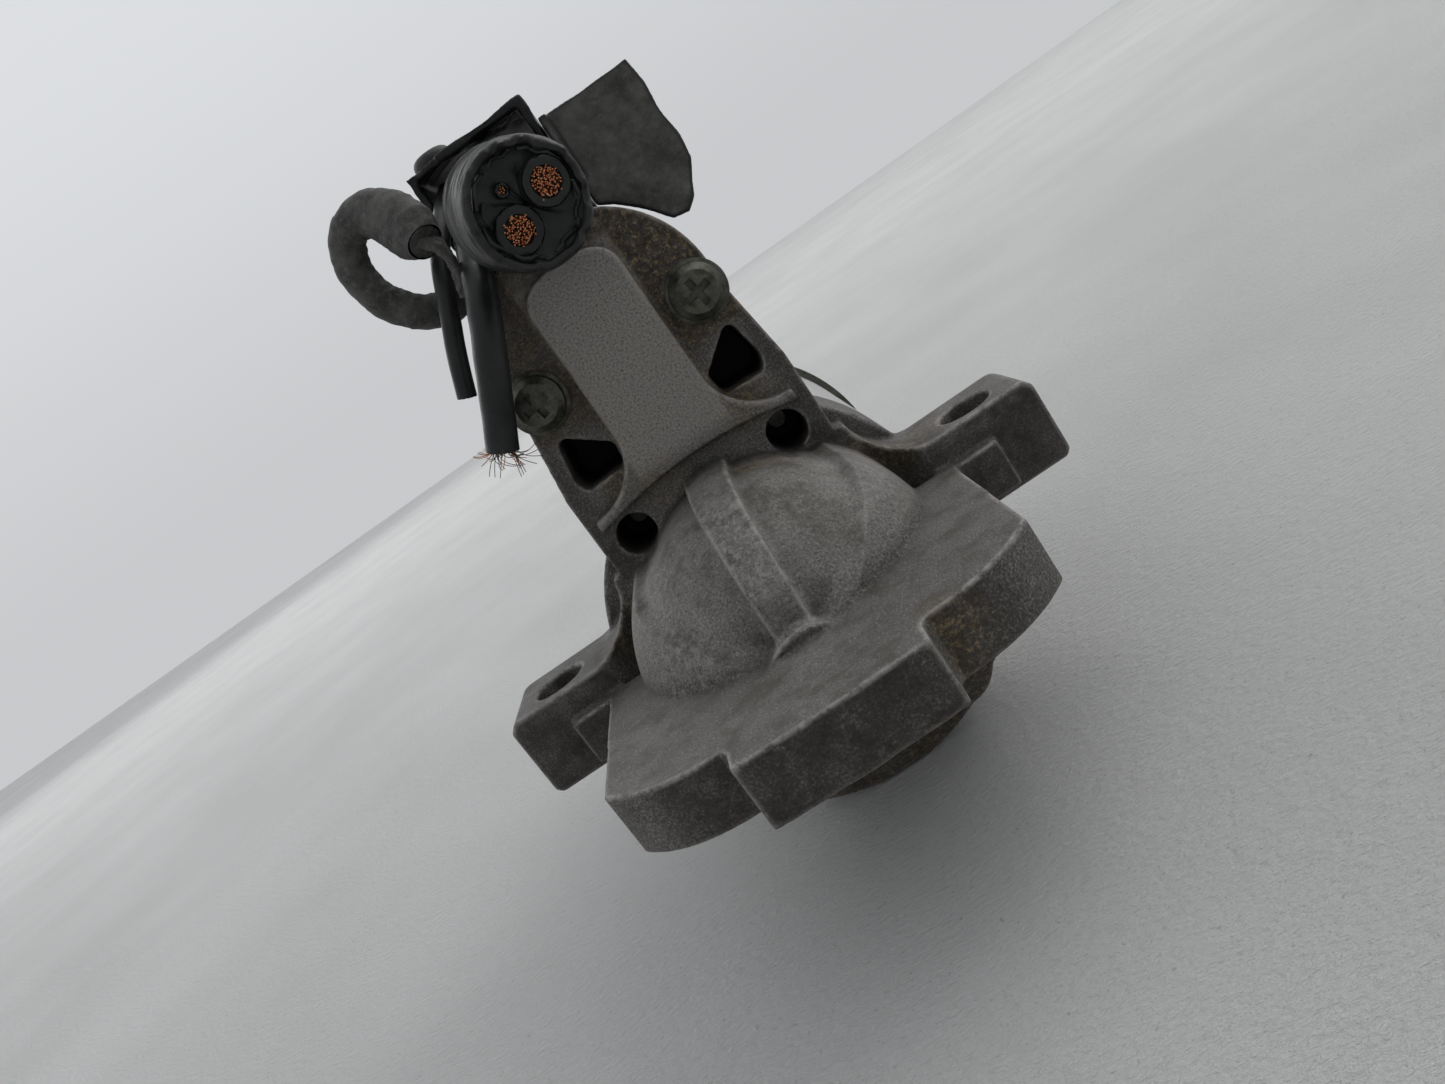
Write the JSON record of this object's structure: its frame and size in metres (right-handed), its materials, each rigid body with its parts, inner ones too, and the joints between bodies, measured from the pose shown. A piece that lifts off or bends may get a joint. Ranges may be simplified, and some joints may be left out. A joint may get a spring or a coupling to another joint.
{
  "type": "starter motor",
  "caption": "Geared starter motor with solenoid, shift lever, cast drive-end housing on side lugs, planetary reduction and cut-off cables.",
  "frame": {"origin": "on the motor and pinion axis, at the centre of the two lug bolts and in the front face of the solenoid plate", "axes": "+Y from the nose to the rear cover along the motor axis, +Z towards the solenoid and along the lug bolts, +X to the right seen from the nose"},
  "size_m": [0.138, 0.2178, 0.1798],
  "materials": {
    "cast_housing": "aged cast aluminium, grime in the crevices",
    "yoke_steel": "bare turned steel, dulled",
    "cover_zinc": "grey-green passivated pressed steel",
    "screw_steel": "dark olive passivated steel",
    "gear_steel": "machined steel, oiled",
    "bronze": "sintered bronze",
    "magnet": "ferrite, matt",
    "core_steel": "laminated steel",
    "copper": "copper",
    "enamelled": "enamelled copper wire",
    "carbon": "copper-graphite",
    "black_plastic": "moulded black plastic, scuffed",
    "rubber_black": "black rubber",
    "case_steel": "passivated steel case",
    "cable_black": "black cable insulation",
    "tape": "loom tape, worn grey",
    "spring_steel": "spring steel",
    "tinned": "tinned copper"
  },
  "bodies": {
    "frame": {"drive_end_housing": "cast_housing", "nose_bush": "bronze", "lever_pin": "gear_steel", "lever_seal": "rubber_black", "solenoid_screws": "screw_steel", "centre_bracket": "core_steel", "centre_bush": "bronze", "annulus_gear": "gear_steel", "yoke_tube": "yoke_steel", "field_magnets": "magnet", "rear_cover": "cover_zinc", "rear_bush": "bronze", "through_bolts": "screw_steel", "brush_holder": "black_plastic", "brushes": "carbon", "brush_springs": "spring_steel", "solenoid_case": "case_steel", "coil_bobbin": "black_plastic", "solenoid_coil": "enamelled", "solenoid_core": "core_steel", "plunger_spring": "spring_steel", "terminal_cap": "black_plastic", "battery_stud": "copper", "motor_stud": "copper", "stud_nuts": "tinned", "spade_terminal": "tinned", "motor_lead": "copper", "lead_grommet": "rubber_black", "terminal_cover": "black_plastic", "terminal_shield": "black_plastic", "cover_knob": "rubber_black", "cable_lugs": "tinned", "loom_sleeve": "tape", "battery_cable_a": "cable_black", "battery_cable_b": "cable_black", "signal_wire": "cable_black", "charge_cable": "cable_black", "ignition_wire": "cable_black", "branch_cable": "tape"},
    "armature": {"armature_shaft": "gear_steel", "armature_core": "core_steel", "armature_windings": "enamelled", "commutator": "copper"},
    "carrier": {"planet_carrier": "gear_steel", "planet_pins": "gear_steel", "stop_collar": "gear_steel"},
    "planet_1": {"planet_gear_1": "gear_steel"},
    "planet_2": {"planet_gear_2": "gear_steel"},
    "planet_3": {"planet_gear_3": "gear_steel"},
    "clutch": {"clutch_shell": "gear_steel", "clutch_rollers": "gear_steel"},
    "pinion_gear": {"pinion": "gear_steel"},
    "solenoid_plunger": {"plunger": "gear_steel"},
    "contact_bridge": {"moving_contact": "copper"},
    "lever": {"shift_lever": "black_plastic"}
  },
  "joints": [
    {"name": "plunger_slide", "type": "slide", "parent": "frame", "child": "solenoid_plunger", "axis": [0, 1, 0], "range_m": [0, 0.01], "stiffness_N_per_m": 1800, "springref_m": -0.012, "deforming": ["plunger_spring"]},
    {"name": "armature_spin", "type": "hinge", "parent": "frame", "child": "armature", "pos_m": [0, 0.07, 0], "axis": [0, 1, 0], "continuous": true},
    {"name": "carrier_spin", "type": "hinge", "parent": "frame", "child": "carrier", "pos_m": [0, 0.02, 0], "axis": [0, 1, 0], "continuous": true},
    {"name": "planet_1_spin", "type": "hinge", "parent": "carrier", "child": "planet_1", "pos_m": [0, 0.0515, 0.018], "axis": [0, 1, 0], "continuous": true},
    {"name": "planet_2_spin", "type": "hinge", "parent": "carrier", "child": "planet_2", "pos_m": [-0.01559, 0.0515, -0.009], "axis": [0, 1, 0], "continuous": true},
    {"name": "planet_3_spin", "type": "hinge", "parent": "carrier", "child": "planet_3", "pos_m": [0.01559, 0.0515, -0.009], "axis": [0, 1, 0], "continuous": true},
    {"name": "clutch_slide", "type": "slide", "parent": "carrier", "child": "clutch", "axis": [0, -1, 0], "range_m": [0, 0.012]},
    {"name": "pinion_spin", "type": "hinge", "parent": "clutch", "child": "pinion_gear", "pos_m": [0, -0.016, 0], "axis": [0, 1, 0], "continuous": true},
    {"name": "lever_swing", "type": "hinge", "parent": "frame", "child": "lever", "pos_m": [0, 0.016, 0.039], "axis": [-1, 0, 0], "range_deg": [0, 17.7]},
    {"name": "contact_slide", "type": "slide", "parent": "frame", "child": "contact_bridge", "axis": [0, 1, 0], "range_m": [0, 0.0025]}
  ],
  "couplings": [
    {"joint": "carrier_spin", "follows": "armature_spin", "ratio": 0.22917},
    {"joint": "planet_1_spin", "follows": "armature_spin", "ratio": -0.65224},
    {"joint": "planet_2_spin", "follows": "armature_spin", "ratio": -0.65224},
    {"joint": "planet_3_spin", "follows": "armature_spin", "ratio": -0.65224},
    {"joint": "clutch_slide", "follows": "plunger_slide", "ratio": 1.2},
    {"joint": "lever_swing", "follows": "plunger_slide", "rad_per_m": 30.7},
    {"joint": "contact_slide", "follows": "plunger_slide", "ratio": 0.25}
  ]
}
